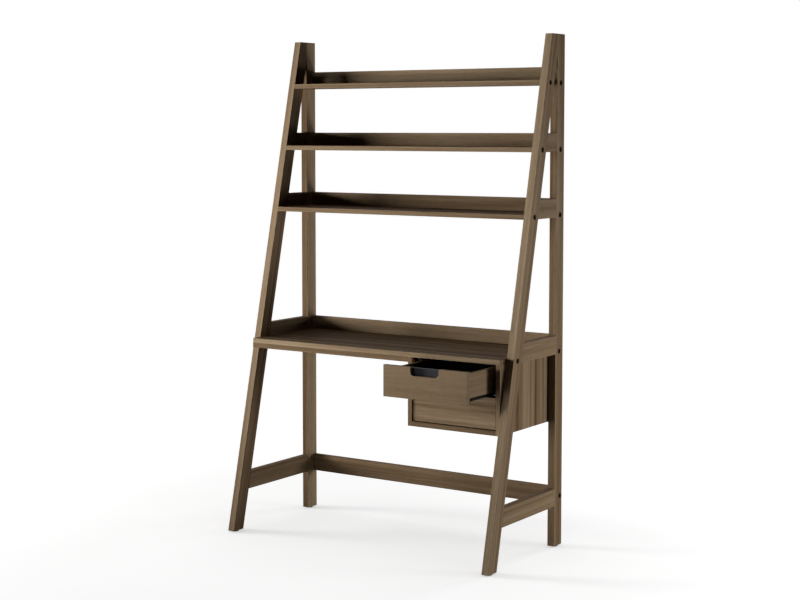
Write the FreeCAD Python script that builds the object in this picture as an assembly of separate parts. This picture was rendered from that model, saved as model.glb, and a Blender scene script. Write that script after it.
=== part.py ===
import FreeCAD, Part
import math
import os
from collections import defaultdict
from FreeCAD import Vector

# Ladder desk: two leaning side frames carry three shelves, a desk top and a hanging two-drawer cabinet.
# Millimetres. +X is to the sitter's right, +Y to the back, +Z up. The origin is on the floor, midway between
# the side frames and midway between the posts' backs and the face of the upper drawer, which stands open.

# Driving dimensions
OVERALL_WIDTH = 1177.0
OVERALL_HEIGHT = 1917.0
REAR = 304.0  # y of the posts' backs
BOARD = 18.0  # thickness of shelves, ledges, desk top and cabinet boards
EASE = 1.0  # radius on the edges of the wood

FRAME_THICKNESS = 29.0
STOCK_DEPTH = 57.0  # posts and legs, seen from the side
LEG_SLOPE = 0.233  # how far a leg leans back for each unit of height
LEG_FRONT_AT_FLOOR = REAR - 543.8

SHELF_TOPS = {"top": 1747.0, "middle": 1502.0, "lower": 1259.5}
DESK_HEIGHT = 750.0
DESK_FRONT = -112.0
LEDGE_RISE = 51.0  # from the board's top to the ledge's top
BOARD_BACK_INSET = 3.0  # from the posts' backs to the backs of boards and ledges
FRONT_RAIL_HEIGHT = 18.7
FRONT_RAIL_DEPTH = 30.0

STRETCHER_BOTTOM = 157.0
STRETCHER_TOP = 225.0
REAR_STRETCHER_INSET = 6.0

CABINET_LEFT = 167.0
CABINET_RIGHT = 559.0
CABINET_BOTTOM = 476.0
CABINET_DEPTH = 350.0
BACK_PANEL = 12.0  # the cabinet's back, behind its depth
FITTINGS_SETBACK = 40.0  # from the cabinet's front to its cleats, packers and runners
CLEAT_LENGTH = 300.0
PACKER = 24.0
PACKER_LENGTH = 300.0
PACKER_HEIGHT = 150.0
PACKER_LIFT = 1.0  # above the cabinet's bottom board

FRONT_GAP = 3.0  # round the drawer fronts
MIDDLE_GAP = 2.5  # between the two drawer fronts
FRONT_RECESS = 4.0  # from the cabinet's front edges back to the drawer fronts
UPPER_DRAWER_OPEN = 196.0
DRAWER_TRAVEL = 225.0
SCOOP_WIDTH = 118.0
SCOOP_DEPTH = 31.5
SCOOP_RADIUS = 16.0

BOX_SIDE = 12.0  # thickness of the drawer boxes' sides, backs and inner fronts
BOX_GAP = 24.7  # from the cabinet's sides to the drawer boxes
BOX_LENGTH = 300.0
BOX_HEIGHT = 89.0
BOX_LIFT = 14.25  # from the drawer front's bottom to the box's bottom
INNER_FRONT_DROP = 4.0  # from the top of a drawer's front to the top of its inner front
DRAWER_BOTTOM = 6.0
GROOVE_LIFT = 8.0
GROOVE_DEPTH = 5.0
GROOVE_PLAY = 0.2

RUNNER_LENGTH = 290.0
RUNNER_DROP = 0.75  # from a drawer box's bottom to the top of its runners
RUNNER_STEEL = 1.2
CHANNEL_HEIGHT = 14.0  # the cabinet's member
CHANNEL_DEPTH = 10.9
MEMBER_HEIGHT = 7.6  # the drawer's member, inside the channel
MEMBER_DEPTH = 10.7
MEMBER_TAB_HEIGHT = 7.5  # how far the member's web rises inside the drawer box
MEMBER_TAB_GAP = 1.0  # from there to the box's back
PAD_GAP = 0.3
PAD_INSET = 2.0
PAD_WIDTH = 6.0
STOP_GAP = 0.5

BOLT_LENGTH = 60.0
BOLT_RADIUS = 3.0
BOLT_HOLE_RADIUS = 3.5
BOLT_HEAD_RADIUS = 5.0
BOLT_HEAD_HEIGHT = 6.0
BOLT_KEY_WIDTH = 5.0  # across the flats of the hexagonal socket
BOLT_KEY_DEPTH = 3.0
COUNTERBORE_RADIUS = 10.0
COUNTERBORE_DEPTH = 12.0
WASHER_RADIUS = 7.0
WASHER_THICKNESS = 1.5
BARREL_RADIUS = 4.9
BARREL_LENGTH = 12.0
BARREL_HOLE_RADIUS = 5.0
BARREL_HOLE_DEPTH = 15.5
BARREL_SETBACK = 34.0  # from the board's end to the barrel nut's axis

SCREW_RADIUS = 2.0
SCREW_HEAD_RADIUS = 4.0  # a head is as high as it stands out beyond the shank
SMALL_SCREW_RADIUS = 1.25
SMALL_SCREW_HEAD_RADIUS = 2.75
DOWEL_RADIUS = 4.0
SMALL_DOWEL_RADIUS = 3.0
DOWEL_LENGTH = 30.0
FIXING_PLAY = 0.1  # between a fixing and its hole

LEDGE_SCREW_PLACES = [-480.0, -160.0, 160.0, 480.0]
LEDGE_SCREW_LENGTH = 48.0
RAIL_SCREW_PLACES = [-520.0, -355.0, -190.0, -25.0, 140.0]
RAIL_SCREW_LENGTH = 32.0
TOP_DOWEL_INSET = 22.0  # from the ends of the joint between leg and post
STRETCHER_DOWEL_OFFSET = 21.0  # from the bolt
CABINET_DOWEL_PLACES = [36.0, 170.0, 300.0]  # from the cabinet's front
CLEAT_UP_SCREW_PLACES = [25.0, 155.0, 285.0]  # from the cleat's front end
CLEAT_SIDE_SCREW_PLACES = [65.0, 245.0]
CLEAT_SCREW_LENGTH = 30.0
BACK_SCREW_LEVELS = [500.0, 600.0, 700.0]
BACK_SCREW_SPACING = 110.0
BACK_SCREW_LENGTH = 30.0
RUNNER_SCREW_PLACES = [25.0, 140.0, 250.0]  # from the runner's front end
CHANNEL_SCREW_LENGTH = 35.0
MEMBER_SCREW_LENGTH = 12.0
MEMBER_SCREW_RISE = 4.0  # above the box's bottom
BOX_SCREW_LENGTH = 35.0
BOX_SCREW_LOW = 22.0  # above the box's bottom
BOX_SCREW_HIGH = 10.0  # below the box's top
BOX_DOWEL_LOW = 26.0
BOX_DOWEL_HIGH = 15.0
BOX_DOWEL_SHIFT = 3.0  # deeper into the side than into the front
CORNER_DOWEL_LEVEL = 50.0  # above the box's bottom, between side and inner front
CORNER_DOWEL_SHIFT = 7.0  # deeper into the inner front than into the side
FRONT_SCREW_SPREAD = 100.0  # either side of the cabinet's middle
FRONT_SCREW_LEVELS = [20.0, 70.0]  # above the box's bottom
FRONT_SCREW_LENGTH = 25.0

GLIDE_RADIUS = 11.0
GLIDE_HEIGHT = 4.5
GLIDE_PIN_RADIUS = 1.5
GLIDE_PIN_LENGTH = 15.0

# Worked-out places
SIDES = {"left": -1, "right": 1}
FRAME_OUTER = OVERALL_WIDTH / 2
FRAME_INNER = FRAME_OUTER - FRAME_THICKNESS
POST_FRONT = REAR - STOCK_DEPTH
LEG_DEPTH = STOCK_DEPTH * math.hypot(1, LEG_SLOPE)  # a leg's depth along a level line
BOARD_BACK = REAR - BOARD_BACK_INSET
LEDGE_FRONT = BOARD_BACK - BOARD
DESK_UNDERSIDE = DESK_HEIGHT - BOARD
CABINET_BACK = DESK_FRONT + CABINET_DEPTH
OPENING_LEFT = CABINET_LEFT + BOARD
OPENING_RIGHT = CABINET_RIGHT - BOARD
OPENING_BOTTOM = CABINET_BOTTOM + BOARD
CABINET_MIDDLE = (CABINET_LEFT + CABINET_RIGHT) / 2
FITTINGS_FRONT = DESK_FRONT + FITTINGS_SETBACK

FRONT_HEIGHT = (DESK_UNDERSIDE - OPENING_BOTTOM - 2 * FRONT_GAP - MIDDLE_GAP) / 2
LOWER_FRONT_BOTTOM = OPENING_BOTTOM + FRONT_GAP
DRAWER_PITCH = FRONT_HEIGHT + MIDDLE_GAP
DRAWER_FACE = DESK_FRONT + FRONT_RECESS
BOX_FRONT = DRAWER_FACE + BOARD
BOX_BACK = BOX_FRONT + BOX_LENGTH
BOX_LEFT = OPENING_LEFT + BOX_GAP
BOX_RIGHT = OPENING_RIGHT - BOX_GAP
BOX_BOTTOM = LOWER_FRONT_BOTTOM + BOX_LIFT
BOX_TOP = BOX_BOTTOM + BOX_HEIGHT
GROOVE_BOTTOM = BOX_BOTTOM + GROOVE_LIFT
RUNNER_LEVEL = BOX_BOTTOM - RUNNER_DROP - CHANNEL_HEIGHT / 2
RUNNER_WIDTH = BOX_GAP + BOX_SIDE + RUNNER_STEEL - PACKER  # from the packer to the member's web
PAD_LENGTH = (RUNNER_LENGTH - 2 * PAD_INSET - DRAWER_TRAVEL - STOP_GAP) / 2

X_AXIS = Vector(1, 0, 0)
Y_AXIS = Vector(0, 1, 0)
Z_AXIS = Vector(0, 0, 1)

boards = {}  # node name -> one solid that is drilled for the fixings which meet it
fixings = defaultdict(list)  # node name -> separate solids of one kind
holes = []  # the hollows that the fixings need in the boards


# Shapes that repeat

def block(x0, x1, y0, y1, z0, z1):
    return Part.makeBox(x1 - x0, y1 - y0, z1 - z0, Vector(x0, y0, z0))


def rod(start, direction, radius, length):
    return Part.makeCylinder(radius, length, start, direction)


def extruded(corners, travel):
    return Part.Face(Part.makePolygon(corners + corners[:1])).extrude(travel)


def eased(shape, grain=None):
    """Rounds the edges that run with the grain, or all edges where no grain is given."""
    edges = shape.Edges
    if grain is not None:
        edges = [edge for edge in edges if abs(edge.tangentAt(edge.FirstParameter).dot(grain)) > 0.9]
    return shape.makeFillet(EASE, edges)


def leg_front(z):
    return LEG_FRONT_AT_FLOOR + LEG_SLOPE * z


def leg_rear(z):
    return leg_front(z) + LEG_DEPTH


def leg_middle(z):
    return leg_front(z) + LEG_DEPTH / 2


# Fixings: each adds its own solid and the hole it sits in

def add_dowel(node, start, direction, radius=DOWEL_RADIUS):
    """A dowel that is centred on the joint face at start."""
    along = Vector(direction).normalize()
    half = DOWEL_LENGTH / 2
    fixings[node].append(rod(start - along * half, along, radius, DOWEL_LENGTH))
    holes.append(rod(start - along * (half + 1), along, radius + FIXING_PLAY, DOWEL_LENGTH + 2))


def screw_shape(start, along, length, radius, head_radius, countersunk, play):
    """A screw whose head's outer face is at start and whose shank runs along the given direction."""
    shank = rod(start, along, radius + play, length + play)
    head_height = head_radius - radius
    if countersunk:
        head = Part.makeCone(head_radius + play, radius + play, head_height, start, along)
    else:
        head = rod(start, along, head_radius + play, head_height)
    return shank.fuse(head).removeSplitter()


def add_screw(node, start, along, length,
              radius=SCREW_RADIUS, head_radius=SCREW_HEAD_RADIUS, countersunk=True):
    fixings[node].append(screw_shape(start, along, length, radius, head_radius, countersunk, 0))
    holes.append(screw_shape(start, along, length, radius, head_radius, countersunk, FIXING_PLAY))


def add_frame_bolt(side, y, z, nut_axis, nut_mouth):
    """A bolt through the side frame into a board's end, where a barrel nut takes it.

    nut_axis points from the mouth of the barrel nut's hole into the board, and nut_mouth is how far out
    that mouth is from the bolt."""
    inward = Vector(-side, 0, 0)
    outer_face = Vector(side * FRAME_OUTER, y, z)
    seat = outer_face + inward * COUNTERBORE_DEPTH
    washer_face = seat - inward * WASHER_THICKNESS
    nut_centre = Vector(side * (FRAME_INNER - BARREL_SETBACK), y, z)

    washer = rod(washer_face, inward, WASHER_RADIUS, WASHER_THICKNESS)
    washer = washer.cut(rod(washer_face, inward, BOLT_HOLE_RADIUS, WASHER_THICKNESS))
    fixings["frame_washers"].append(washer)

    head_top = washer_face - inward * BOLT_HEAD_HEIGHT
    bolt = rod(head_top, inward, BOLT_HEAD_RADIUS, BOLT_HEAD_HEIGHT)
    bolt = bolt.fuse(rod(washer_face, inward, BOLT_RADIUS, BOLT_LENGTH)).removeSplitter()
    bolt = bolt.cut(hexagon_key(head_top, side))
    fixings["frame_bolts"].append(bolt)

    nut = rod(nut_centre - nut_axis * (BARREL_LENGTH / 2), nut_axis, BARREL_RADIUS, BARREL_LENGTH)
    thread_start = nut_centre - inward * BARREL_RADIUS
    nut = nut.cut(rod(thread_start, inward, BOLT_RADIUS + FIXING_PLAY, 2 * BARREL_RADIUS))
    fixings["barrel_nuts"].append(nut)

    holes.append(rod(outer_face, inward, COUNTERBORE_RADIUS, COUNTERBORE_DEPTH))
    holes.append(rod(seat, inward, BOLT_HOLE_RADIUS, BOLT_LENGTH + 1))
    holes.append(rod(nut_centre - nut_axis * nut_mouth, nut_axis, BARREL_HOLE_RADIUS, BARREL_HOLE_DEPTH))


def hexagon_key(head_top, side):
    """The hexagonal socket in a bolt's head."""
    corner_radius = BOLT_KEY_WIDTH / math.sqrt(3)
    corners = []
    for step in range(6):
        turn = math.radians(60 * step)
        corners.append(head_top + Vector(0, corner_radius * math.cos(turn), corner_radius * math.sin(turn)))
    return extruded(corners, Vector(-side * BOLT_KEY_DEPTH, 0, 0))


def add_board_bolts(board_top, front_y):
    """The bolts at both ends of a level board, through the leg and through the post."""
    level = board_top - BOARD / 2
    for side in SIDES.values():
        for y in (front_y, REAR - STOCK_DEPTH / 2):
            add_frame_bolt(side, y, level, Z_AXIS, BOARD / 2)


# Side frames

def frame_member(side, outline):
    """Extrudes an outline of (y, z) corners through the thickness of a side frame."""
    inner = side * FRAME_INNER
    corners = [Vector(inner, y, z) for y, z in outline]
    return extruded(corners, Vector(side * FRAME_THICKNESS, 0, 0))


def make_posts_and_legs():
    wood_bottom = GLIDE_HEIGHT
    join_bottom = (POST_FRONT - LEG_DEPTH - LEG_FRONT_AT_FLOOR) / LEG_SLOPE
    leg_outline = [
        (leg_front(wood_bottom), wood_bottom),
        (leg_front(OVERALL_HEIGHT), OVERALL_HEIGHT),
        (POST_FRONT, OVERALL_HEIGHT),
        (POST_FRONT, join_bottom),
        (leg_rear(wood_bottom), wood_bottom),
    ]
    post_outline = [
        (POST_FRONT, wood_bottom),
        (POST_FRONT, OVERALL_HEIGHT),
        (REAR, OVERALL_HEIGHT),
        (REAR, wood_bottom),
    ]
    frame_middle = FRAME_OUTER - FRAME_THICKNESS / 2
    for name, side in SIDES.items():
        boards[name + "_rear_post"] = eased(frame_member(side, post_outline))
        boards[name + "_front_leg"] = eased(frame_member(side, leg_outline))
        for z in (join_bottom + TOP_DOWEL_INSET, OVERALL_HEIGHT - TOP_DOWEL_INSET):
            add_dowel("wood_dowels", Vector(side * frame_middle, POST_FRONT, z), Y_AXIS)


def make_frame_side(node, bottom, top):
    """A board between leg and post in each side frame, with two dowels in each end."""
    outline = [(leg_rear(bottom), bottom), (leg_rear(top), top), (POST_FRONT, top), (POST_FRONT, bottom)]
    frame_middle = FRAME_OUTER - FRAME_THICKNESS / 2
    for name, side in SIDES.items():
        boards[name + "_" + node] = eased(frame_member(side, outline), Y_AXIS)
        for share in (0.25, 0.75):
            z = bottom + share * (top - bottom)
            add_dowel("wood_dowels", Vector(side * frame_middle, leg_rear(z), z), Y_AXIS)
            add_dowel("wood_dowels", Vector(side * frame_middle, POST_FRONT, z), Y_AXIS)


def make_foot_glides():
    frame_middle = FRAME_OUTER - FRAME_THICKNESS / 2
    for side in SIDES.values():
        for y in (leg_middle(GLIDE_HEIGHT), REAR - STOCK_DEPTH / 2):
            foot = Vector(side * frame_middle, y, 0)
            pad = rod(foot, Z_AXIS, GLIDE_RADIUS, GLIDE_HEIGHT)
            rim = [edge for edge in pad.Edges if abs(edge.CenterOfMass.z) < 0.01]
            pad = pad.makeFillet(EASE, rim)
            neck = foot + Z_AXIS * GLIDE_HEIGHT
            fixings["foot_glides"].append(pad.fuse(rod(neck, Z_AXIS, GLIDE_PIN_RADIUS, GLIDE_PIN_LENGTH)))
            holes.append(rod(neck, Z_AXIS, GLIDE_PIN_RADIUS + FIXING_PLAY, GLIDE_PIN_LENGTH + 1))


# Boards between the side frames

def make_ledge(node, board_top):
    """A ledge that stands on a board's back edge and is screwed from below."""
    ledge = block(-FRAME_INNER, FRAME_INNER, LEDGE_FRONT, BOARD_BACK, board_top, board_top + LEDGE_RISE)
    boards[node] = eased(ledge, X_AXIS)
    for x in LEDGE_SCREW_PLACES:
        start = Vector(x, BOARD_BACK - BOARD / 2, board_top - BOARD)
        add_screw("ledge_screws", start, Z_AXIS, LEDGE_SCREW_LENGTH)


def make_shelf(name, top):
    """A shelf whose front edge is planed to the lean of the legs."""
    bottom = top - BOARD
    corners = [
        Vector(-FRAME_INNER, leg_front(bottom), bottom),
        Vector(-FRAME_INNER, leg_front(top), top),
        Vector(-FRAME_INNER, BOARD_BACK, top),
        Vector(-FRAME_INNER, BOARD_BACK, bottom),
    ]
    boards[name + "_shelf"] = eased(extruded(corners, Vector(2 * FRAME_INNER, 0, 0)), X_AXIS)
    make_ledge(name + "_shelf_ledge", top)
    add_board_bolts(top, leg_middle(top - BOARD / 2))


def make_desk():
    top = block(-FRAME_INNER, FRAME_INNER, DESK_FRONT, BOARD_BACK, DESK_UNDERSIDE, DESK_HEIGHT)
    boards["desk_top"] = eased(top)
    make_ledge("desk_ledge", DESK_HEIGHT)
    add_board_bolts(DESK_HEIGHT, leg_middle(DESK_HEIGHT - BOARD / 2))

    rail_bottom = DESK_UNDERSIDE - FRONT_RAIL_HEIGHT
    rail_back = DESK_FRONT + FRONT_RAIL_DEPTH
    rail = block(-FRAME_INNER, CABINET_LEFT, DESK_FRONT, rail_back, rail_bottom, DESK_UNDERSIDE)
    boards["desk_front_rail"] = eased(rail, X_AXIS)
    for x in RAIL_SCREW_PLACES:
        start = Vector(x, (DESK_FRONT + rail_back) / 2, rail_bottom)
        add_screw("ledge_screws", start, Z_AXIS, RAIL_SCREW_LENGTH)


def make_rear_stretcher():
    back = REAR - REAR_STRETCHER_INSET
    front = back - BOARD
    middle = (front + back) / 2
    level = (STRETCHER_BOTTOM + STRETCHER_TOP) / 2
    stretcher = block(-FRAME_INNER, FRAME_INNER, front, back, STRETCHER_BOTTOM, STRETCHER_TOP)
    boards["rear_stretcher"] = eased(stretcher, X_AXIS)
    for side in SIDES.values():
        add_frame_bolt(side, middle, level, -Y_AXIS, BOARD / 2)
        for z in (level - STRETCHER_DOWEL_OFFSET, level + STRETCHER_DOWEL_OFFSET):
            add_dowel("wood_dowels", Vector(side * FRAME_INNER, middle, z), X_AXIS)


# Cabinet

def make_cabinet():
    for name, outer, inner in (("left", CABINET_LEFT, OPENING_LEFT), ("right", CABINET_RIGHT, OPENING_RIGHT)):
        low, high = sorted((outer, inner))
        panel = block(low, high, DESK_FRONT, CABINET_BACK, CABINET_BOTTOM, DESK_UNDERSIDE)
        boards["cabinet_" + name + "_side"] = eased(panel)

    bottom = block(OPENING_LEFT, OPENING_RIGHT, DESK_FRONT, CABINET_BACK, CABINET_BOTTOM, OPENING_BOTTOM)
    boards["cabinet_bottom"] = eased(bottom, X_AXIS)
    for x in (OPENING_LEFT, OPENING_RIGHT):
        for place in CABINET_DOWEL_PLACES:
            start = Vector(x, DESK_FRONT + place, CABINET_BOTTOM + BOARD / 2)
            add_dowel("wood_dowels", start, X_AXIS, SMALL_DOWEL_RADIUS)

    back_face = CABINET_BACK + BACK_PANEL
    back = block(CABINET_LEFT, CABINET_RIGHT, CABINET_BACK, back_face, CABINET_BOTTOM, DESK_UNDERSIDE)
    boards["cabinet_back"] = back
    row_level = CABINET_BOTTOM + BOARD / 2
    places = [(CABINET_MIDDLE + step * BACK_SCREW_SPACING, row_level) for step in (-1, 0, 1)]
    for x in (CABINET_LEFT + BOARD / 2, CABINET_RIGHT - BOARD / 2):
        places += [(x, z) for z in BACK_SCREW_LEVELS]
    for x, z in places:
        add_screw("cabinet_screws", Vector(x, back_face, z), -Y_AXIS, BACK_SCREW_LENGTH,
                  SMALL_SCREW_RADIUS, SMALL_SCREW_HEAD_RADIUS)


def make_cabinet_fittings():
    """Cleats that hang the cabinet from the desk top, and packers that the runners are screwed to."""
    cleat_bottom = DESK_UNDERSIDE - BOARD
    cleat_back = FITTINGS_FRONT + CLEAT_LENGTH
    packer_bottom = OPENING_BOTTOM + PACKER_LIFT
    packer_top = packer_bottom + PACKER_HEIGHT
    packer_back = FITTINGS_FRONT + PACKER_LENGTH
    for name, wall, inward in (("left", OPENING_LEFT, 1), ("right", OPENING_RIGHT, -1)):
        low, high = sorted((wall, wall + inward * BOARD))
        cleat = block(low, high, FITTINGS_FRONT, cleat_back, cleat_bottom, DESK_UNDERSIDE)
        boards["cabinet_" + name + "_cleat"] = cleat
        for place in CLEAT_UP_SCREW_PLACES:
            start = Vector(wall + inward * BOARD / 2, FITTINGS_FRONT + place, cleat_bottom)
            add_screw("cabinet_screws", start, Z_AXIS, CLEAT_SCREW_LENGTH)
        for place in CLEAT_SIDE_SCREW_PLACES:
            start = Vector(wall + inward * BOARD, FITTINGS_FRONT + place, cleat_bottom + BOARD / 2)
            add_screw("cabinet_screws", start, Vector(-inward, 0, 0), CLEAT_SCREW_LENGTH)

        low, high = sorted((wall, wall + inward * PACKER))
        packer = block(low, high, FITTINGS_FRONT, packer_back, packer_bottom, packer_top)
        boards["cabinet_" + name + "_packer"] = packer


# Runners, hidden under the drawer boxes. Depths are measured from the packer's face towards the drawer.

def runner_block(inward, depth0, depth1, y0, y1, z0, z1):
    face = OPENING_LEFT + PACKER if inward > 0 else OPENING_RIGHT - PACKER
    low, high = sorted((face + inward * depth0, face + inward * depth1))
    return block(low, high, y0, y1, z0, z1)


def channel(inward, web_depth, flange_depth, height, level):
    """A steel channel: its web stands at web_depth and its flanges reach to flange_depth."""
    front = FITTINGS_FRONT
    back = FITTINGS_FRONT + RUNNER_LENGTH
    half = height / 2
    web_side = RUNNER_STEEL if flange_depth > web_depth else -RUNNER_STEEL
    outer = runner_block(inward, web_depth, flange_depth, front, back, level - half, level + half)
    hollow_low = level - half + RUNNER_STEEL
    hollow_high = level + half - RUNNER_STEEL
    hollow = runner_block(inward, web_depth + web_side, flange_depth, front, back, hollow_low, hollow_high)
    return outer.cut(hollow)


def glide_pads(inward, y0, y1, inner_gap, outer_gap, level):
    """A nylon pad above and one below the drawer's member, inside the channel."""
    middle = (RUNNER_STEEL + RUNNER_WIDTH) / 2
    member_half = MEMBER_HEIGHT / 2
    channel_half = CHANNEL_HEIGHT / 2 - RUNNER_STEEL
    low = member_half + inner_gap
    high = channel_half - outer_gap
    depths = (middle - PAD_WIDTH / 2, middle + PAD_WIDTH / 2)
    upper = runner_block(inward, *depths, y0, y1, level + low, level + high)
    lower = runner_block(inward, *depths, y0, y1, level - high, level - low)
    return [upper, lower]


def drawer_member(inward):
    """The drawer's channel, whose web rises inside the box's side and is screwed to it there."""
    web = RUNNER_WIDTH
    rail = channel(inward, web, web - MEMBER_DEPTH, MEMBER_HEIGHT, RUNNER_LEVEL)
    tab_back = BOX_BACK - BOX_SIDE - MEMBER_TAB_GAP
    tab = runner_block(inward, web - RUNNER_STEEL, web, FITTINGS_FRONT, tab_back,
                       RUNNER_LEVEL, BOX_BOTTOM + MEMBER_TAB_HEIGHT)
    return rail.fuse(tab).removeSplitter()


def make_cabinet_runners():
    pad_front = FITTINGS_FRONT + PAD_INSET
    pad_back = pad_front + PAD_LENGTH
    for name, rise in (("lower", 0), ("upper", DRAWER_PITCH)):
        level = RUNNER_LEVEL + rise
        for inward in (1, -1):
            rail = channel(inward, 0, CHANNEL_DEPTH, CHANNEL_HEIGHT, level)
            fixings[name + "_cabinet_rails"].append(rail)
            fixings["cabinet_rail_pads"] += glide_pads(inward, pad_front, pad_back, PAD_GAP, 0, level)
            face = OPENING_LEFT + PACKER if inward > 0 else OPENING_RIGHT - PACKER
            head_face = face + inward * (RUNNER_STEEL + SMALL_SCREW_HEAD_RADIUS - SMALL_SCREW_RADIUS)
            into_packer = Vector(-inward, 0, 0)
            for place in RUNNER_SCREW_PLACES:
                start = Vector(head_face, FITTINGS_FRONT + place, level)
                add_screw("cabinet_screws", start, into_packer, CHANNEL_SCREW_LENGTH,
                          SMALL_SCREW_RADIUS, SMALL_SCREW_HEAD_RADIUS, countersunk=False)


# Drawers. Each is made shut in the lower place, then lifted and pulled out.

def drawer_front():
    left = OPENING_LEFT + FRONT_GAP
    right = OPENING_RIGHT - FRONT_GAP
    top = LOWER_FRONT_BOTTOM + FRONT_HEIGHT
    front = block(left, right, DRAWER_FACE, BOX_FRONT, LOWER_FRONT_BOTTOM, top)

    scoop_left = CABINET_MIDDLE - SCOOP_WIDTH / 2
    scoop_right = CABINET_MIDDLE + SCOOP_WIDTH / 2
    scoop_bottom = top - SCOOP_DEPTH
    scoop = block(scoop_left, scoop_right, DRAWER_FACE, BOX_FRONT, scoop_bottom, top + SCOOP_RADIUS)
    corners = [edge for edge in scoop.Edges if abs(edge.CenterOfMass.z - scoop_bottom) < 0.01
               and abs(edge.tangentAt(edge.FirstParameter).y) > 0.9]
    return eased_front(front.cut(scoop.makeFillet(SCOOP_RADIUS, corners)))


def eased_front(front):
    """Rounds the outlines of a drawer front's two faces, scoop and all."""
    outlines = [edge for edge in front.Edges if edge.BoundBox.YLength < 0.01]
    return front.makeFillet(EASE, outlines)


def drawer_boards():
    """The six boards of a drawer, by name. The inner front closes the scoop from behind."""
    groove_top = GROOVE_BOTTOM + DRAWER_BOTTOM + GROOVE_PLAY
    inner_left = BOX_LEFT + BOX_SIDE
    inner_right = BOX_RIGHT - BOX_SIDE
    inner_front = BOX_FRONT + BOX_SIDE
    inner_back = BOX_BACK - BOX_SIDE
    made = {"front": drawer_front()}
    groove = block(inner_left - GROOVE_DEPTH, inner_right + GROOVE_DEPTH,
                   inner_front - GROOVE_DEPTH, inner_back + GROOVE_DEPTH, GROOVE_BOTTOM, groove_top)
    for name, low, high in (("left", BOX_LEFT, inner_left), ("right", inner_right, BOX_RIGHT)):
        side = eased(block(low, high, BOX_FRONT, BOX_BACK, BOX_BOTTOM, BOX_TOP), Y_AXIS)
        made[name + "_side"] = side.cut(groove)
    made["back"] = block(inner_left, inner_right, inner_back, BOX_BACK, BOX_BOTTOM, BOX_TOP).cut(groove)
    inner_top = LOWER_FRONT_BOTTOM + FRONT_HEIGHT - INNER_FRONT_DROP
    backing = block(inner_left, inner_right, BOX_FRONT, inner_front, BOX_BOTTOM, inner_top)
    made["inner_front"] = backing.cut(groove)
    play = GROOVE_PLAY
    made["bottom"] = block(inner_left - GROOVE_DEPTH + play, inner_right + GROOVE_DEPTH - play,
                           inner_front - GROOVE_DEPTH + play, inner_back + GROOVE_DEPTH - play,
                           GROOVE_BOTTOM + play / 2, groove_top - play / 2)
    return made


def add_drawer_fixings(name):
    """Dowels at the drawer's front corners, and the screws of its back, its front and its runners."""
    dowels = name + "_drawer_dowels"
    screws = name + "_drawer_screws"
    for x, inward in ((BOX_LEFT, 1), (BOX_RIGHT, -1)):
        into_drawer = Vector(inward, 0, 0)
        for z in (BOX_BOTTOM + BOX_DOWEL_LOW, BOX_TOP - BOX_DOWEL_HIGH):
            start = Vector(x + inward * BOX_SIDE / 2, BOX_FRONT + BOX_DOWEL_SHIFT, z)
            add_dowel(dowels, start, Y_AXIS, SMALL_DOWEL_RADIUS)
        corner = Vector(x + inward * (BOX_SIDE + CORNER_DOWEL_SHIFT), BOX_FRONT + BOX_SIDE / 2,
                        BOX_BOTTOM + CORNER_DOWEL_LEVEL)
        add_dowel(dowels, corner, X_AXIS, SMALL_DOWEL_RADIUS)

        for z in (BOX_BOTTOM + BOX_SCREW_LOW, BOX_TOP - BOX_SCREW_HIGH):
            add_screw(screws, Vector(x, BOX_BACK - BOX_SIDE / 2, z), into_drawer, BOX_SCREW_LENGTH)
        for level in FRONT_SCREW_LEVELS:
            start = Vector(CABINET_MIDDLE - inward * FRONT_SCREW_SPREAD, BOX_FRONT + BOX_SIDE,
                           BOX_BOTTOM + level)
            add_screw(screws, start, -Y_AXIS, FRONT_SCREW_LENGTH)
        tab = BOX_SIDE + RUNNER_STEEL
        head_face = x + inward * (tab + SMALL_SCREW_HEAD_RADIUS - SMALL_SCREW_RADIUS)
        for place in RUNNER_SCREW_PLACES:
            start = Vector(head_face, FITTINGS_FRONT + place, BOX_BOTTOM + MEMBER_SCREW_RISE)
            add_screw(screws, start, -into_drawer, MEMBER_SCREW_LENGTH,
                      SMALL_SCREW_RADIUS, SMALL_SCREW_HEAD_RADIUS, countersunk=False)


def make_drawer(name, rise, opening):
    place = Vector(0, -opening, rise)
    first_hole = len(holes)
    add_drawer_fixings(name)
    own_holes = holes[first_hole:]
    del holes[first_hole:]

    for piece, shape in drawer_boards().items():
        boards[name + "_drawer_" + piece] = drilled(shape, own_holes).translated(place)
    for kind in ("_drawer_dowels", "_drawer_screws"):
        fixings[name + kind] = [shape.translated(place) for shape in fixings[name + kind]]

    pad_back = FITTINGS_FRONT + RUNNER_LENGTH - PAD_INSET
    for inward in (1, -1):
        rail = drilled(drawer_member(inward), own_holes)
        fixings[name + "_drawer_rails"].append(rail.translated(place))
        pads = glide_pads(inward, pad_back - PAD_LENGTH, pad_back, 0, PAD_GAP, RUNNER_LEVEL)
        fixings[name + "_drawer_rail_pads"] += [pad.translated(place) for pad in pads]


# Assembly

def drilled(shape, tools):
    """Cuts every hole that meets the shape."""
    meeting = [tool for tool in tools if shape.BoundBox.intersect(tool.BoundBox)]
    return shape.cut(meeting) if meeting else shape


def write_nodes():
    os.makedirs("parts", exist_ok=True)
    for name, shape in boards.items():
        drilled(shape, holes).exportStep(os.path.join("parts", name + ".step"))
    for name, solids in fixings.items():
        if name.endswith("_cabinet_rails"):
            solids = [drilled(solid, holes) for solid in solids]
        Part.makeCompound(solids).exportStep(os.path.join("parts", name + ".step"))


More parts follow.
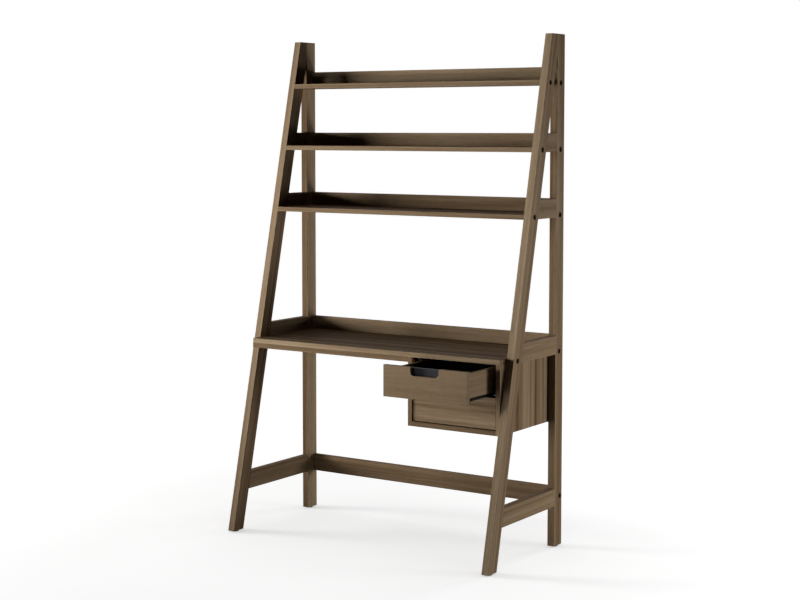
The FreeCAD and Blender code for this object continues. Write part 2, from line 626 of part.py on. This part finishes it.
make_posts_and_legs()
make_frame_side("middle_shelf_side", SHELF_TOPS["middle"] - BOARD, SHELF_TOPS["middle"] + LEDGE_RISE)
make_frame_side("lower_shelf_side", SHELF_TOPS["lower"] - BOARD, SHELF_TOPS["lower"] + LEDGE_RISE)
make_frame_side("desk_side", DESK_UNDERSIDE, DESK_HEIGHT + LEDGE_RISE)
make_frame_side("side_stretcher", STRETCHER_BOTTOM, STRETCHER_TOP)
make_foot_glides()
for shelf_name, shelf_top in SHELF_TOPS.items():
    make_shelf(shelf_name, shelf_top)
make_desk()
make_rear_stretcher()
make_cabinet()
make_cabinet_fittings()
make_cabinet_runners()
make_drawer("lower", 0, 0)
make_drawer("upper", DRAWER_PITCH, UPPER_DRAWER_OPEN)
write_nodes()
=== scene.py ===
import math

import bmesh
import bpy
from mathutils import Euler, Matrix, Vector


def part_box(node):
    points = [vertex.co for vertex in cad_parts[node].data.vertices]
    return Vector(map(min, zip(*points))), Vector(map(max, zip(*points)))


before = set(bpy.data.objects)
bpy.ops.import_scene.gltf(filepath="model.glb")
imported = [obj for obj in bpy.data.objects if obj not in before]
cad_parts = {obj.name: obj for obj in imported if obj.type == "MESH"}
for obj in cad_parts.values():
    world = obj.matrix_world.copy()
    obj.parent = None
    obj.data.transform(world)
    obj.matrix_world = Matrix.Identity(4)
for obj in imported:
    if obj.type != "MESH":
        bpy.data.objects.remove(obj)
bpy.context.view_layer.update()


# --- Studio floor, lamps and camera -------------------------------------------------------------------------
# A pale floor that runs out into a white room. A large soft lamp stands at the left, and weaker ones at the
# right, at the back and low in front. The white of the floor and the room is for the eye alone and lights
# nothing, so that a colour renders about as it is written.

FLOOR_SIZE = 40.0
FLOOR_PAINT = (0.45, 0.45, 0.447, 1.0)
FLOOR_GLOW = 0.85  # white that the eye sees near the desk, on top of the light that falls on the floor
FLOOR_FADE = (1.0, 2.3)  # metres from the desk's middle over which that white grows to a full one
SHADE_REACH = 1.2  # metres from which the desk still casts a painted shadow on that white
SHADE_DEPTH = 0.5  # share of that white that the painted shadow takes where the desk covers the whole sky
WHITE = (1.0, 1.0, 1.0, 1.0)

floor_shape = bmesh.new()
bmesh.ops.create_grid(floor_shape, x_segments=1, y_segments=1, size=FLOOR_SIZE / 2)
floor_mesh = bpy.data.meshes.new("studio_floor")
floor_shape.to_mesh(floor_mesh)
floor_shape.free()
studio_floor = bpy.data.objects.new("studio_floor", floor_mesh)
bpy.context.scene.collection.objects.link(studio_floor)


def new_material(name):
    """A material and its node tree, which is empty."""
    material = bpy.data.materials.new(name)
    material.use_nodes = True
    material.node_tree.nodes.clear()
    return material, material.node_tree


def add_node(tree, kind, inputs=None, **settings):
    """A node with its settings. Each of its inputs gets a value of its own or another node's output."""
    node = tree.nodes.new(kind)
    for setting, value in settings.items():
        setattr(node, setting, value)
    for socket, value in (inputs or {}).items():
        if isinstance(value, bpy.types.NodeSocket):
            tree.links.new(value, node.inputs[socket])
        else:
            node.inputs[socket].default_value = value
    return node


def math_node(tree, operation, *values):
    """The output of a Math node. A value is a number or another node's output."""
    return add_node(tree, "ShaderNodeMath", dict(enumerate(values)), operation=operation).outputs[0]


def vector_node(tree, operation, *values):
    """The output of a Vector Math node, which is a number where the operation measures something."""
    node = add_node(tree, "ShaderNodeVectorMath", dict(enumerate(values)), operation=operation)
    return node.outputs["Value" if operation in ("LENGTH", "DOT_PRODUCT") else "Vector"]


def remap(tree, value, old, new=(0.0, 1.0), curve="LINEAR"):
    """The output of a Map Range node that takes the range old to the range new."""
    ends = {"From Min": old[0], "From Max": old[1], "To Min": new[0], "To Max": new[1]}
    node = add_node(tree, "ShaderNodeMapRange", {"Value": value, **ends}, interpolation_type=curve)
    return node.outputs["Result"]


def seen_by_eye(tree):
    """1 for a ray from the eye, straight or by way of gloss or glass, and 0 for light that spreads."""
    path = add_node(tree, "ShaderNodeLightPath")
    mirrored = math_node(tree, "MAXIMUM", path.outputs["Is Glossy Ray"], path.outputs["Is Transmission Ray"])
    return math_node(tree, "MAXIMUM", path.outputs["Is Camera Ray"], mirrored)


floor_paint, tree = new_material("pale_floor")
place = add_node(tree, "ShaderNodeTexCoord")
from_middle = vector_node(tree, "LENGTH", place.outputs["Object"])
whiteness = remap(tree, from_middle, FLOOR_FADE, (FLOOR_GLOW, 1.0), "SMOOTHSTEP")
# A painted shadow: the eye's white on the floor grows darker where the desk covers more of the sky above it.
open_sky = add_node(tree, "ShaderNodeAmbientOcclusion", {"Distance": SHADE_REACH})
painted_floor_shadow = math_node(tree, "MULTIPLY_ADD", open_sky.outputs["AO"], SHADE_DEPTH, 1.0 - SHADE_DEPTH)
white_with_painted_shadow = math_node(tree, "MULTIPLY", whiteness, painted_floor_shadow)
glow_strength = math_node(tree, "MULTIPLY", seen_by_eye(tree), white_with_painted_shadow)
glow = add_node(tree, "ShaderNodeEmission", {"Color": WHITE, "Strength": glow_strength})
paint = add_node(tree, "ShaderNodeBsdfDiffuse", {"Color": FLOOR_PAINT})
painted_glow = add_node(tree, "ShaderNodeAddShader", {0: paint.outputs[0], 1: glow.outputs[0]})
add_node(tree, "ShaderNodeOutputMaterial", {"Surface": painted_glow.outputs[0]})
floor_mesh.materials.append(floor_paint)

room = bpy.data.worlds.new("white_room")
room.use_nodes = True
tree = room.node_tree
tree.nodes.clear()
backdrop = add_node(tree, "ShaderNodeBackground", {"Color": WHITE, "Strength": seen_by_eye(tree)})
add_node(tree, "ShaderNodeOutputWorld", {"Surface": backdrop.outputs[0]})
bpy.context.scene.world = room


def soft_lamp(name, place, aim, size, watts, beam=180):
    """A square lamp at place that shines towards aim. Its grid lets out a beam of so many degrees."""
    lamp = bpy.data.lights.new(name, "AREA")
    lamp.shape = "SQUARE"
    lamp.size = size
    lamp.energy = watts
    lamp.spread = math.radians(beam)
    holder = bpy.data.objects.new(name, lamp)
    holder.location = place
    holder.rotation_euler = (Vector(aim) - Vector(place)).to_track_quat("-Z", "Y").to_euler()
    holder.visible_camera = False
    bpy.context.scene.collection.objects.link(holder)


soft_lamp("left_lamp", place=(-4.70, -1.71, 1.3), aim=(0.0, 0.1, 1.3), size=1.6, watts=50, beam=50)
soft_lamp("right_lamp", place=(2.8, 1.0, 0.4), aim=(0.0, 0.1, 0.4), size=0.8, watts=35)
soft_lamp("back_lamp", place=(1.0, 2.6, 1.2), aim=(0.0, 0.1, 1.2), size=0.8, watts=16.8)
soft_lamp("front_lamp", place=(-0.6, -3.6, 0.2), aim=(0.0, 0.2, 1.3), size=1.0, watts=6.2, beam=60)

CAMERA_PLACE = (3.4449, -5.1015, 1.5741)
CAMERA_YAW = 33.577  # degrees that it is turned to its left
CAMERA_DROP = 4.358  # degrees that it looks down
CAMERA_LENS = 73.574  # millimetres
CAMERA_SENSOR = 36.0  # millimetres
CAMERA_SHIFT = -0.06

camera = bpy.data.cameras.new("camera")
camera.sensor_width = CAMERA_SENSOR
camera.lens = CAMERA_LENS
camera.shift_y = CAMERA_SHIFT
camera_holder = bpy.data.objects.new("camera", camera)
camera_holder.location = CAMERA_PLACE
camera_holder.rotation_euler = (math.pi / 2 - math.radians(CAMERA_DROP), 0.0, math.radians(CAMERA_YAW))
bpy.context.scene.collection.objects.link(camera_holder)
bpy.context.scene.camera = camera_holder
bpy.context.scene.view_settings.view_transform = "Standard"


# --- Rear posts ---------------------------------------------------------------------------------------------
# Two plumb posts of 29 by 57 mm hardwood, stained grey-brown and lacquered matt. Their edges are eased, and
# the holes in their outer faces take the bolts of the shelves, the desk top and the rear stretcher.

# How many times the grain's patterns change in a metre, along the log and in the two directions across it.
WANDER = (1.1, 5.0, 5.0)
STREAKS = (1.6, 70.0, 70.0)
FIBRES = (7.0, 420.0, 420.0)
PORES = (26.0, 1500.0, 1500.0)
BANDS = 15.0  # growth bands, which follow one another from the heart outwards
BAND_SHARPNESS = 0.58
STREAK_SHARPNESS = 0.6
WANDER_WIDTH = 0.036  # metres by which the bands sway on their way along the log
TAPER = 0.008  # how much a metre along the log counts as a distance from its heart

# How far each pattern moves the stain's tone, and the tones from the darkest to the palest.
BAND_CONTRAST = 1.3
STREAK_CONTRAST = 0.44
FIBRE_CONTRAST = 0.12
STAIN = ((0.0, (58, 40, 25)), (0.3, (95, 74, 51)), (0.5, (127, 106, 82)), (0.7, (148, 127, 101)),
         (1.0, (175, 154, 126)))
PORE_STAIN = (48, 36, 26)
PORE_COVER = 0.35  # share of the pores' own colour where one lies
PORE_LIMITS = (0.60, 0.68)  # of the pores' noise, from the closed wood to the pore

LACQUER_SHINE = 0.01
LACQUER_ROUGHNESS = 0.47
FIBRE_ROUGHNESS = 0.16  # what the fibres and the pores add to it
PORE_ROUGHNESS = 0.15
FLAT_HEIGHT = 0.5  # of the plain wood in the relief, which runs from 0 to about 1
FIBRE_RISE = 0.35
PORE_SINK = 0.5
GRAIN_RELIEF = 0.0004  # metres that a whole step in height stands for
GRAIN_RELIEF_STRENGTH = 0.35

EDGE_REACH = 0.0016  # metres from an edge that are rubbed thin
EDGE_TURN = (0.99, 0.80)  # cosine between a face and its rounded edge, from no wear to full wear
WEAR_PATCHES = 38.0  # changes in a metre between rubbed and whole stretches of an edge
WEAR_LIMITS = (0.38, 0.62)
RUBBED_STAIN = (225, 215, 195)

LEG_SLOPE = 0.233  # millimetres that the front legs lean back for each millimetre of height
GRAIN_TURNS = {  # turns a board so that its grain runs along X
    "across": (0.0, 0.0, 0.0),
    "deep": (0.0, 0.0, -math.pi / 2),
    "upright": (0.0, math.pi / 2, 0.0),
    "leaning": (math.atan(LEG_SLOPE), math.pi / 2, 0.0),
}
SQUARE_ON = (0.7, 0.9)  # cosine between a face and an axis, from not facing it to facing it


def tint(red, green, blue):
    """An sRGB colour, 0 to 255 a channel, as the linear colour that a shader takes."""
    linear = []
    for value in (red, green, blue):
        share = value / 255
        linear.append(share / 12.92 if share <= 0.04045 else ((share + 0.055) / 1.055) ** 2.4)
    return (*linear, 1.0)


def fill_ramp(ramp, stops):
    """Gives a new colour ramp its stops. A stop is its place, 0 to 1, and an sRGB colour."""
    first, *between, last = stops
    for element, (position, colour) in zip(ramp.elements, (first, last)):
        element.position = position
        element.color = tint(*colour)
    for position, colour in between:
        ramp.elements.new(position).color = tint(*colour)


def noise(tree, place, changes, detail, roughness=0.5):
    """A Noise Texture. changes is how many there are in a metre: one number, or one for each axis."""
    if isinstance(changes, tuple):
        place = vector_node(tree, "MULTIPLY", place, changes)
        changes = 1.0
    inputs = {"Vector": place, "Scale": changes, "Detail": detail, "Roughness": roughness}
    return add_node(tree, "ShaderNodeTexNoise", inputs)


def relief(tree, height, depth, strength):
    """A normal from a height. depth is the metres that a whole step in height stands for."""
    bump = add_node(tree, "ShaderNodeBump", {"Height": height, "Distance": depth, "Strength": strength})
    return bump.outputs["Normal"]


def mix(tree, share, first, second, kind="RGBA", **settings):
    """A mix of two colours, numbers or vectors, all the second where share is 1."""
    inputs = {"Factor": share, "A": first, "B": second}
    return add_node(tree, "ShaderNodeMix", inputs, data_type=kind, **settings).outputs["Result"]


def facing(tree, place, axis, way, values=(0.0, 1.0)):
    """The second of two values on faces that look 1 or -1 way along an axis, and the first elsewhere."""
    look = add_node(tree, "ShaderNodeSeparateXYZ", {"Vector": place.outputs["Normal"]})
    return remap(tree, look.outputs[axis], [way * cosine for cosine in SQUARE_ON], values)


def new_group(name, inputs, outputs):
    """A shader node group with its sockets, each with its kind, and its input node."""
    group = bpy.data.node_groups.new(name, "ShaderNodeTree")
    for direction, sockets in (("INPUT", inputs), ("OUTPUT", outputs)):
        for socket, kind in sockets.items():
            group.interface.new_socket(name=socket, in_out=direction, socket_type=kind)
    return group, group.nodes.new("NodeGroupInput")


def make_grain_group():
    """Grain of a board cut from a log whose heart is the X axis: growth bands, streaks, fibres and pores."""
    group, given = new_group(
        "stained_grain",
        {"Vector": "NodeSocketVector", "Tone": "NodeSocketFloat", "Figure": "NodeSocketFloat"},
        {"Color": "NodeSocketColor", "Roughness": "NodeSocketFloat", "Height": "NodeSocketFloat"})
    place = given.outputs["Vector"]

    wander = noise(group, place, WANDER, detail=2.0).outputs["Color"]
    swayed = vector_node(group, "MULTIPLY_ADD", wander, (0.0, WANDER_WIDTH, WANDER_WIDTH), place)
    from_heart = vector_node(group, "LENGTH", vector_node(group, "MULTIPLY", swayed, (TAPER, 1.0, 1.0)))
    ring_noise = {"W": from_heart, "Scale": BANDS, "Detail": 4.0, "Roughness": BAND_SHARPNESS}
    bands = add_node(group, "ShaderNodeTexNoise", ring_noise, noise_dimensions="1D").outputs["Fac"]
    streaks = noise(group, place, STREAKS, detail=3.0, roughness=STREAK_SHARPNESS).outputs["Fac"]
    fibres = noise(group, place, FIBRES, detail=2.0).outputs["Fac"]
    pores = remap(group, noise(group, place, PORES, detail=1.0).outputs["Fac"], PORE_LIMITS)

    def swing(pattern, contrast):
        return math_node(group, "MULTIPLY_ADD", pattern, contrast, -contrast / 2)

    drawing = math_node(group, "ADD", swing(bands, BAND_CONTRAST), swing(streaks, STREAK_CONTRAST))
    drawing = math_node(group, "ADD", drawing, swing(fibres, FIBRE_CONTRAST))
    shade = math_node(group, "MULTIPLY_ADD", drawing, given.outputs["Figure"], given.outputs["Tone"])
    stain = add_node(group, "ShaderNodeValToRGB", {"Fac": shade})
    fill_ramp(stain.color_ramp, STAIN)
    pore_share = math_node(group, "MULTIPLY", pores, PORE_COVER)

    rough_fibres = math_node(group, "MULTIPLY_ADD", fibres, FIBRE_ROUGHNESS, LACQUER_ROUGHNESS)
    raised_fibres = math_node(group, "MULTIPLY_ADD", fibres, FIBRE_RISE, FLAT_HEIGHT)
    add_node(group, "NodeGroupOutput", {
        "Color": mix(group, pore_share, stain.outputs["Color"], tint(*PORE_STAIN)),
        "Roughness": math_node(group, "MULTIPLY_ADD", pores, PORE_ROUGHNESS, rough_fibres),
        "Height": math_node(group, "MULTIPLY_ADD", pores, -PORE_SINK, raised_fibres),
    })
    return group


def make_wear_group():
    """Edges and corners where the stain has been rubbed thin, broken up so that no edge is even."""
    group, given = new_group(
        "rubbed_edges",
        {"Vector": "NodeSocketVector", "Reach": "NodeSocketFloat"},
        {"Mask": "NodeSocketFloat"})
    rounded = add_node(group, "ShaderNodeBevel", {"Radius": given.outputs["Reach"]}, samples=4)
    surface = add_node(group, "ShaderNodeNewGeometry")
    agreement = vector_node(group, "DOT_PRODUCT", rounded.outputs[0], surface.outputs["True Normal"])
    edge = remap(group, agreement, EDGE_TURN)
    patches = noise(group, given.outputs["Vector"], WEAR_PATCHES, detail=4.0)
    uneven = remap(group, patches.outputs["Fac"], WEAR_LIMITS)
    add_node(group, "NodeGroupOutput", {"Mask": math_node(group, "MULTIPLY", edge, uneven)})
    return group


grain_group = make_grain_group()
wear_group = make_wear_group()


def dress(node, material):
    """Puts a material on every face of a CAD node."""
    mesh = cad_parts[node].data
    mesh.materials.clear()
    mesh.materials.append(material)


def stain_board(node, grain, heart, tone=0.5, figure=1.0, along=0.0, side=None):
    """Gives a board its own cut of stained wood.

    heart is where the log's heart lies from the board's middle, across the grain, and along shifts the cut
    along the log, both in metres. tone is how pale the stain is, from 0 to 1, and on the shelves and the
    desk top it also holds painted shade. figure is how strongly the grain shows. side is the one face with
    another tone, if there is one: its axis, 1 or -1 for the way it looks, and its tone, which is partly the
    face's own tone and partly painted light, where it is paler, and painted shade, where it is darker."""
    low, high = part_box(node)
    turn = Euler(GRAIN_TURNS[grain])
    middle = turn.to_matrix() @ ((low + high) / 2)
    material, tree = new_material("stained_wood_" + node)
    place = add_node(tree, "ShaderNodeTexCoord")
    cut = add_node(tree, "ShaderNodeMapping", {
        "Vector": place.outputs["Object"],
        "Rotation": turn,
        "Location": Vector((along, -heart[0], -heart[1])) - middle,
    })
    # The one face's other tone is partly painted light, where it is paler, and painted shade, where it is
    # darker.
    if side is not None:
        axis, way, face_tone_and_light = side
        tone = facing(tree, place, axis, way, (tone, face_tone_and_light))
    wood_inputs = {"Vector": cut.outputs["Vector"], "Tone": tone, "Figure": figure}
    wood = add_node(tree, "ShaderNodeGroup", wood_inputs, node_tree=grain_group)
    wear_inputs = {"Vector": place.outputs["Object"], "Reach": EDGE_REACH}
    wear = add_node(tree, "ShaderNodeGroup", wear_inputs, node_tree=wear_group)
    worn, stained = wear.outputs["Mask"], wood.outputs["Color"]
    lacquer = add_node(tree, "ShaderNodeBsdfPrincipled", {
        "Base Color": mix(tree, worn, stained, tint(*RUBBED_STAIN), blend_type="SOFT_LIGHT"),
        "Roughness": wood.outputs["Roughness"],
        "Specular IOR Level": LACQUER_SHINE,
        "Normal": relief(tree, wood.outputs["Height"], GRAIN_RELIEF, GRAIN_RELIEF_STRENGTH),
    })
    add_node(tree, "ShaderNodeOutputMaterial", {"Surface": lacquer.outputs[0]})
    dress(node, material)


# The left post's paler inner face and the right post's darker front are partly painted light and painted
# shade.
stain_board("left_rear_post", "upright", (0.07, 0.05), tone=0.33, along=0.3, side=("X", 1, 0.74))
stain_board("right_rear_post", "upright", (0.08, -0.04), tone=0.44, along=2.9, side=("Y", -1, 0.33))


# --- Front legs ---------------------------------------------------------------------------------------------
# The same 29 by 57 mm stock as the posts, leaning back to meet them at the top. Each is planed off where it
# lies against its post, and glued and dowelled there.

# The left leg's darker inner face and the right leg's paler front are partly painted shade and painted light.
stain_board("left_front_leg", "leaning", (-0.06, 0.06), tone=0.58, along=5.2, side=("X", 1, 0.37))
stain_board("right_front_leg", "leaning", (-0.08, -0.05), tone=0.57, along=7.7, side=("Y", -1, 0.70))


# --- Boards between leg and post ----------------------------------------------------------------------------
# Short boards of the frame's own thickness that close the side frames beside the shelves and the desk top,
# and the low side stretchers. They are dowelled between leg and post.

SIDE_HEART = 0.05  # metres sideways from a board's middle to its log's heart, mirrored on the right
SIDE_BOARDS = {  # metres from a board's middle up to its log's heart, its tone, and its cut along the log
    "middle_shelf_side": (-0.05, 0.46, 1.3),
    "lower_shelf_side": (0.07, 0.5, 3.3),
    "desk_side": (0.05, 0.57, 5.3),
    "side_stretcher": (-0.06, 0.5, 7.3),
}
for side, mirror in (("left", 1), ("right", -1)):
    for board, (heart_height, tone, along) in SIDE_BOARDS.items():
        heart = (SIDE_HEART * mirror, heart_height)
        stain_board(f"{side}_{board}", "deep", heart, tone, along=along + mirror)


# --- Shelves and their ledges -------------------------------------------------------------------------------
# Three 18 mm boards, bolted between the side frames, with their front edges planed to the lean of the legs.
# A ledge of the same board stands on the back edge of each, screwed from below.

# The faces' low tones are partly painted shade on the shelves' tops, and the lips' higher tones partly
# painted light on their fronts.
SHELF_TONES_AND_SHADE = {  # of a shelf's faces, of the lip on its front edge and of its ledge
    "top_shelf": (0.42, 0.6, 0.618),
    "middle_shelf": (0.26, 0.636, 0.506),
    "lower_shelf": (0.22, 0.56, 0.511),
}
SHELF_CUT = 1.7  # metres of log from one shelf or ledge to the next
FIRST_LEDGE_CUT = 6.1
for number, (shelf, (face, lip, ledge)) in enumerate(SHELF_TONES_AND_SHADE.items()):
    cut = SHELF_CUT * number
    stain_board(shelf, "across", (0.05, -0.14), tone=face, along=cut, side=("Y", -1, lip))
    stain_board(shelf + "_ledge", "across", (0.12, 0.03), tone=ledge, along=FIRST_LEDGE_CUT + cut)


# --- Desk top, its ledge and front rail ---------------------------------------------------------------------
# One 18 mm board, bolted between the side frames, that stands 47 mm proud of the legs. A ledge along its
# back and a rail under its front edge, which stiffens it over the sitter's knees, are screwed to it.

# The top's low tone is partly painted shade on its upper face, and its front edge's higher tone partly
# painted light.
stain_board("desk_top", "across", (0.06, -0.12), tone=0.36, figure=1.5, along=11.0, side=("Y", -1, 0.62))
stain_board("desk_ledge", "across", (0.12, 0.05), tone=0.684, along=13.0)
stain_board("desk_front_rail", "across", (0.10, 0.04), tone=0.497, along=15.0)


# --- Rear stretcher -----------------------------------------------------------------------------------------
# A stained board on edge between the posts, low down, that keeps the two side frames square to each other.
# A bolt and two dowels hold each of its ends.

stain_board("rear_stretcher", "across", (0.12, -0.05), tone=0.49, along=17.0)


# --- Cabinet ------------------------------------------------------------------------------------------------
# Two upright sides and a bottom of stained board. The back that is planted on behind them is of slate grey
# melamine board. The cleats that hang the cabinet from the desk top and the packers behind its runners are
# dressed in it as painted shade, and the sides' inner faces get it as a lining and as painted shade.

SLATE_DARK = (36, 36, 39)
SLATE_PALE = (47, 47, 50)
SLATE_STIPPLE = 1400.0  # changes in a metre
SLATE_RELIEF = 0.0001  # metres
SLATE_RELIEF_STRENGTH = 0.3
SLATE_ROUGHNESS = 0.55
SLATE_SHINE = 0.08
LINING_AND_SHADE_FRONT = -0.095  # where the slate lining and painted shade start, behind the drawer fronts

# The sides' darker front edges and the bottom's paler one are partly painted shade and painted light.
stain_board("cabinet_left_side", "upright", (0.30, 0.05), along=0.9, side=("Y", -1, 0.33))
stain_board("cabinet_right_side", "upright", (0.34, 0.05),
            tone=0.59, figure=1.5, along=2.1, side=("Y", -1, 0.42))
stain_board("cabinet_bottom", "across", (0.2, -0.1), along=3.2, side=("Y", -1, 0.62))


def make_slate_group():
    """Melamine on board: an even slate grey with a fine stipple."""
    group, given = new_group(
        "slate_melamine",
        {"Vector": "NodeSocketVector"},
        {"Color": "NodeSocketColor", "Height": "NodeSocketFloat"})
    stipple = noise(group, given.outputs["Vector"], SLATE_STIPPLE, detail=2.0).outputs["Fac"]
    shade = mix(group, stipple, tint(*SLATE_DARK), tint(*SLATE_PALE))
    add_node(group, "NodeGroupOutput", {"Color": shade, "Height": stipple})
    return group


slate_group = make_slate_group()


def slate_face(tree, place):
    """The colour and the normal of a face of slate grey melamine."""
    face = add_node(tree, "ShaderNodeGroup", {"Vector": place.outputs["Object"]}, node_tree=slate_group)
    return face.outputs["Color"], relief(tree, face.outputs["Height"], SLATE_RELIEF, SLATE_RELIEF_STRENGTH)


def make_slate_board():
    """Board with slate grey melamine on all its faces."""
    material, tree = new_material("slate_board")
    colour, normal = slate_face(tree, add_node(tree, "ShaderNodeTexCoord"))
    melamine = add_node(tree, "ShaderNodeBsdfPrincipled", {
        "Base Color": colour,
        "Roughness": SLATE_ROUGHNESS,
        "Specular IOR Level": SLATE_SHINE,
        "Normal": normal,
    })
    add_node(tree, "ShaderNodeOutputMaterial", {"Surface": melamine.outputs[0]})
    return material


def slate_lining_and_shade(node, inward, start=-1.0):
    """Slate grey on a stained board's inner face, which looks 1 or -1 along X, from start to its back.

    It is partly a lining and partly painted shade, which keeps the inside of the cabinet and of the drawers
    dark.
    """
    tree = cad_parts[node].data.materials[0].node_tree
    board = next(found for found in tree.nodes if found.bl_idname == "ShaderNodeBsdfPrincipled")
    place = add_node(tree, "ShaderNodeTexCoord")
    depth = add_node(tree, "ShaderNodeSeparateXYZ", {"Vector": place.outputs["Object"]}).outputs["Y"]
    behind = math_node(tree, "GREATER_THAN", depth, start)
    lined_and_shaded = math_node(tree, "MULTIPLY", facing(tree, place, "X", inward), behind)
    colour, normal = slate_face(tree, place)
    for socket, kind, slate_value in (
            ("Base Color", "RGBA", colour),
            ("Roughness", "FLOAT", SLATE_ROUGHNESS),
            ("Normal", "VECTOR", normal)):
        stained_value = board.inputs[socket].links[0].from_socket
        tree.links.new(mix(tree, lined_and_shaded, stained_value, slate_value, kind), board.inputs[socket])


slate = make_slate_board()
dress("cabinet_back", slate)
for side, inward in (("left", 1), ("right", -1)):
    # The cleats and the packers get the dark slate board as painted shade deep in the cabinet.
    dress(f"cabinet_{side}_cleat", slate)
    dress(f"cabinet_{side}_packer", slate)
    # Slate on the sides' inner faces: partly a lining, partly painted shade inside the cabinet.
    slate_lining_and_shade(f"cabinet_{side}_side", inward, LINING_AND_SHADE_FRONT)


# --- Drawers ------------------------------------------------------------------------------------------------
# Each drawer has a front of 18 mm board with a finger scoop in its top edge, planted on a box of two 12 mm
# stained sides, whose inner faces are slate grey, partly a lining and partly painted shade, and a back, an
# inner front and a bottom of slate grey board.

stain_board("upper_drawer_front", "across", (0.02, -0.25), tone=0.59, figure=0.2, along=0.5)
stain_board("lower_drawer_front", "across", (0.10, 0.02), tone=0.37, figure=1.7, along=2.5)
for drawer in ("upper_drawer", "lower_drawer"):
    stain_board(drawer + "_left_side", "deep", (0.08, 0.02), along=1.0)
    stain_board(drawer + "_right_side", "deep", (0.08, 0.02), tone=0.6, along=2.0)
    # Slate on the drawer sides' inner faces: partly a lining, partly painted shade inside the drawer.
    slate_lining_and_shade(drawer + "_left_side", 1)
    slate_lining_and_shade(drawer + "_right_side", -1)
    for board in ("back", "inner_front", "bottom"):
        dress(f"{drawer}_{board}", slate)


# --- Bolts, screws, dowels, runners and glides --------------------------------------------------------------
# Black cap bolts and washers sit deep in the holes of the side frames. Their barrel nuts and the screws are
# zinc plated, and the dowels are beech. The runners are black coated steel with nylon pads, their black also
# painted shade under the drawers, and the glides under the feet are dark nylon.

METAL_RELIEF = 0.00002  # metres
METAL_RELIEF_STRENGTH = 0.3
POLISHED = -0.1  # what handling and machining take from a metal's roughness or add to it
SCRATCHED = 0.14
NYLON_RELIEF = 0.00005  # metres
NYLON_RELIEF_STRENGTH = 0.4
BEECH_FLECKS = (14.0, 420.0, 420.0)  # changes in a metre along a dowel and across it
BEECH = ((0.34, (158, 121, 84)), (0.62, (202, 168, 128)))
BEECH_RELIEF = 0.0002  # metres
BEECH_RELIEF_STRENGTH = 0.3
BEECH_ROUGHNESS = 0.62
BEECH_SHINE = 0.25


def metal(name, colour, roughness, blotches):
    """A metal with an uneven shine from handling and machining, which changes blotches times in a metre."""
    material, tree = new_material(name)
    place = add_node(tree, "ShaderNodeTexCoord")
    handled = noise(tree, place.outputs["Object"], blotches, detail=4.0).outputs["Fac"]
    steel = add_node(tree, "ShaderNodeBsdfPrincipled", {
        "Base Color": tint(*colour),
        "Metallic": 1.0,
        "Roughness": remap(tree, handled, (0.0, 1.0), (roughness + POLISHED, roughness + SCRATCHED)),
        "Normal": relief(tree, handled, METAL_RELIEF, METAL_RELIEF_STRENGTH),
    })
    add_node(tree, "ShaderNodeOutputMaterial", {"Surface": steel.outputs[0]})
    return material


def moulded(name, colour, roughness, texture, shine=0.5):
    """Moulded nylon, or a powder coat, with a fine texture that changes texture times in a metre."""
    material, tree = new_material(name)
    place = add_node(tree, "ShaderNodeTexCoord")
    grit = noise(tree, place.outputs["Object"], texture, detail=2.0).outputs["Fac"]
    nylon = add_node(tree, "ShaderNodeBsdfPrincipled", {
        "Base Color": tint(*colour),
        "Roughness": roughness,
        "Specular IOR Level": shine,
        "Normal": relief(tree, grit, NYLON_RELIEF, NYLON_RELIEF_STRENGTH),
    })
    add_node(tree, "ShaderNodeOutputMaterial", {"Surface": nylon.outputs[0]})
    return material


def make_beech():
    """Unstained beech: pale brown with short darker flecks along the grain, which is X."""
    material, tree = new_material("dowel_beech")
    place = add_node(tree, "ShaderNodeTexCoord")
    flecks = noise(tree, place.outputs["Object"], BEECH_FLECKS, detail=3.0).outputs["Fac"]
    beech = add_node(tree, "ShaderNodeValToRGB", {"Fac": flecks})
    fill_ramp(beech.color_ramp, BEECH)
    wood = add_node(tree, "ShaderNodeBsdfPrincipled", {
        "Base Color": beech.outputs["Color"],
        "Roughness": BEECH_ROUGHNESS,
        "Specular IOR Level": BEECH_SHINE,
        "Normal": relief(tree, flecks, BEECH_RELIEF, BEECH_RELIEF_STRENGTH),
    })
    add_node(tree, "ShaderNodeOutputMaterial", {"Surface": wood.outputs[0]})
    return material


black_steel = metal("black_steel", (46, 45, 44), 0.42, blotches=900.0)
zinc = metal("bright_zinc", (158, 158, 153), 0.36, blotches=700.0)
# The runners' near black is partly their coat and partly painted shade, so that they sink into the shadow
# under the drawers.
runner_coat_and_shade = moulded("runner_coat_and_shade", (24, 23, 22), 0.55, texture=1500.0, shine=0.1)
white_nylon = moulded("white_nylon", (226, 225, 218), 0.45, texture=2200.0)
dark_nylon = moulded("dark_nylon", (26, 22, 19), 0.6, texture=2600.0, shine=0.05)
dowel_beech = make_beech()

for node in ("frame_bolts", "frame_washers"):
    dress(node, black_steel)
for node in ("barrel_nuts", "ledge_screws", "cabinet_screws", "upper_drawer_screws", "lower_drawer_screws"):
    dress(node, zinc)
for node in ("upper_cabinet_rails", "lower_cabinet_rails", "upper_drawer_rails", "lower_drawer_rails"):
    dress(node, runner_coat_and_shade)
for node in ("cabinet_rail_pads", "upper_drawer_rail_pads", "lower_drawer_rail_pads"):
    dress(node, white_nylon)
for node in ("wood_dowels", "upper_drawer_dowels", "lower_drawer_dowels"):
    dress(node, dowel_beech)
dress("foot_glides", dark_nylon)
